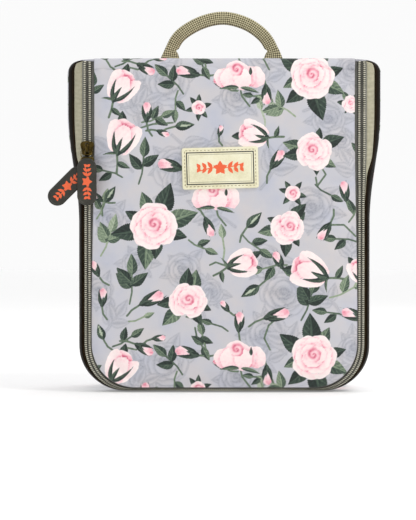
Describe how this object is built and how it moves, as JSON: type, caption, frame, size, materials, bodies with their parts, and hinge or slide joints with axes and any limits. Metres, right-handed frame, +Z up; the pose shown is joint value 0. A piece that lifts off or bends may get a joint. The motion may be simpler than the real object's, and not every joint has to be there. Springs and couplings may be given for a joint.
{
  "type": "hanging toiletry bag",
  "caption": "Padded floral toiletry bag with a flap zipped on three sides, a webbing carry handle, a leather patch, inner pockets and a fold-out hanging hook.",
  "frame": {"origin": "middle of the flat base, on the surface that the bag stands on", "axes": "+Z up, +X to the right as seen from the front, the front with the flap faces -Y"},
  "size_m": [0.2339, 0.0883, 0.269],
  "materials": {
    "floral_fabric": "fine plain weave, soft grey with pink roses and dark green leaves",
    "lining_fabric": "smooth taupe nylon lining",
    "foam": "closed-cell foam wadding",
    "zip_tape": "dark taupe herringbone tape",
    "zip_coil": "pale khaki moulded chain",
    "khaki_strip": "khaki grosgrain",
    "leatherette": "smooth dark brown leatherette",
    "elastic": "dark ribbed elastic",
    "webbing": "coarse khaki webbing",
    "label_leather": "smooth cream leather, satin",
    "antique_brass": "antique brass, dark in the hollows",
    "tag_rubber": "satin olive-black moulded rubber",
    "mesh": "dark open mesh",
    "board": "plain stiffener",
    "hook_plastic": "dark moulded plastic"
  },
  "bodies": {
    "body": {"zip_coil_body": "zip_coil", "zip_tape_body": "zip_tape", "gusset_strip": "khaki_strip", "trim_band": "leatherette", "side_gusset": "floral_fabric", "side_lining": "lining_fabric", "back_panel": "floral_fabric", "back_foam_pad": "foam", "back_lining": "lining_fabric", "top_panel": "floral_fabric", "top_lining": "lining_fabric", "base_board": "board", "mesh_pocket": "mesh", "mesh_pocket_binding": "leatherette", "elastic_strap": "elastic", "handle_anchor_left": "webbing", "handle_anchor_right": "webbing"},
    "handle": {"handle_webbing": "webbing"},
    "flap": {"front_panel": "floral_fabric", "flap_foam_pad": "foam", "flap_lining": "lining_fabric", "label_patch": "label_leather", "zip_tape_flap": "zip_tape", "zip_coil_flap": "zip_coil", "flap_pocket": "mesh", "pocket_zip_tape": "zip_tape", "pocket_zip_coil": "zip_coil", "hook_bracket": "hook_plastic"},
    "pocket_pull": {"pocket_slider": "antique_brass"},
    "hook": {"hook": "hook_plastic"},
    "slider_upper": {"slider_upper": "antique_brass"},
    "ring_upper": {"ring_upper": "antique_brass"},
    "tag_upper": {"tag_upper": "tag_rubber"},
    "slider_lower": {"slider_lower": "antique_brass"},
    "ring_lower": {"ring_lower": "antique_brass"},
    "tag_lower": {"tag_lower": "tag_rubber"}
  },
  "joints": [
    {"name": "flap_open", "type": "hinge", "parent": "body", "child": "flap", "pos_m": [0, -0.0375, 0.232], "axis": [-1, 0, 0], "range_deg": [0, 180]},
    {"name": "handle_tilt", "type": "hinge", "parent": "body", "child": "handle", "pos_m": [0, 0.002, 0.2348], "axis": [1, 0, 0], "range_deg": [-80, 55]},
    {"name": "hook_fold", "type": "hinge", "parent": "flap", "child": "hook", "pos_m": [0, -0.0294, 0.012], "axis": [-1, 0, 0], "range_deg": [0, 180]},
    {"name": "pocket_zip", "type": "slide", "parent": "flap", "child": "pocket_pull", "axis": [1, 0, 0], "range_m": [0, 0.14]},
    {"name": "zip_upper", "type": "slide", "parent": "flap", "child": "slider_upper", "axis": [0, 0, 1], "range_m": [0, 0.046]},
    {"name": "zip_lower", "type": "slide", "parent": "flap", "child": "slider_lower", "axis": [0, 0, -1], "range_m": [0, 0.108]},
    {"name": "ring_upper_lift", "type": "hinge", "parent": "slider_upper", "child": "ring_upper", "pos_m": [-0.0955, -0.0467, 0.1702], "axis": [-1, 0, 0], "range_deg": [0, 90]},
    {"name": "ring_lower_lift", "type": "hinge", "parent": "slider_lower", "child": "ring_lower", "pos_m": [-0.0957, -0.0436, 0.1616], "axis": [-1, 0, 0], "range_deg": [0, 90]},
    {"name": "tag_upper_swing", "type": "hinge", "parent": "ring_upper", "child": "tag_upper", "pos_m": [-0.0955, -0.0467, 0.166], "axis": [0, 1, 0], "range_deg": [-60, 60]},
    {"name": "tag_lower_swing", "type": "hinge", "parent": "ring_lower", "child": "tag_lower", "pos_m": [-0.0957, -0.0436, 0.1574], "axis": [0, 1, 0], "range_deg": [-45, 30]}
  ],
  "couplings": [
    {"joint": "hook_fold", "follows": "flap_open", "ratio": 1},
    {"joint": "ring_lower_lift", "follows": "ring_upper_lift", "ratio": 1}
  ]
}
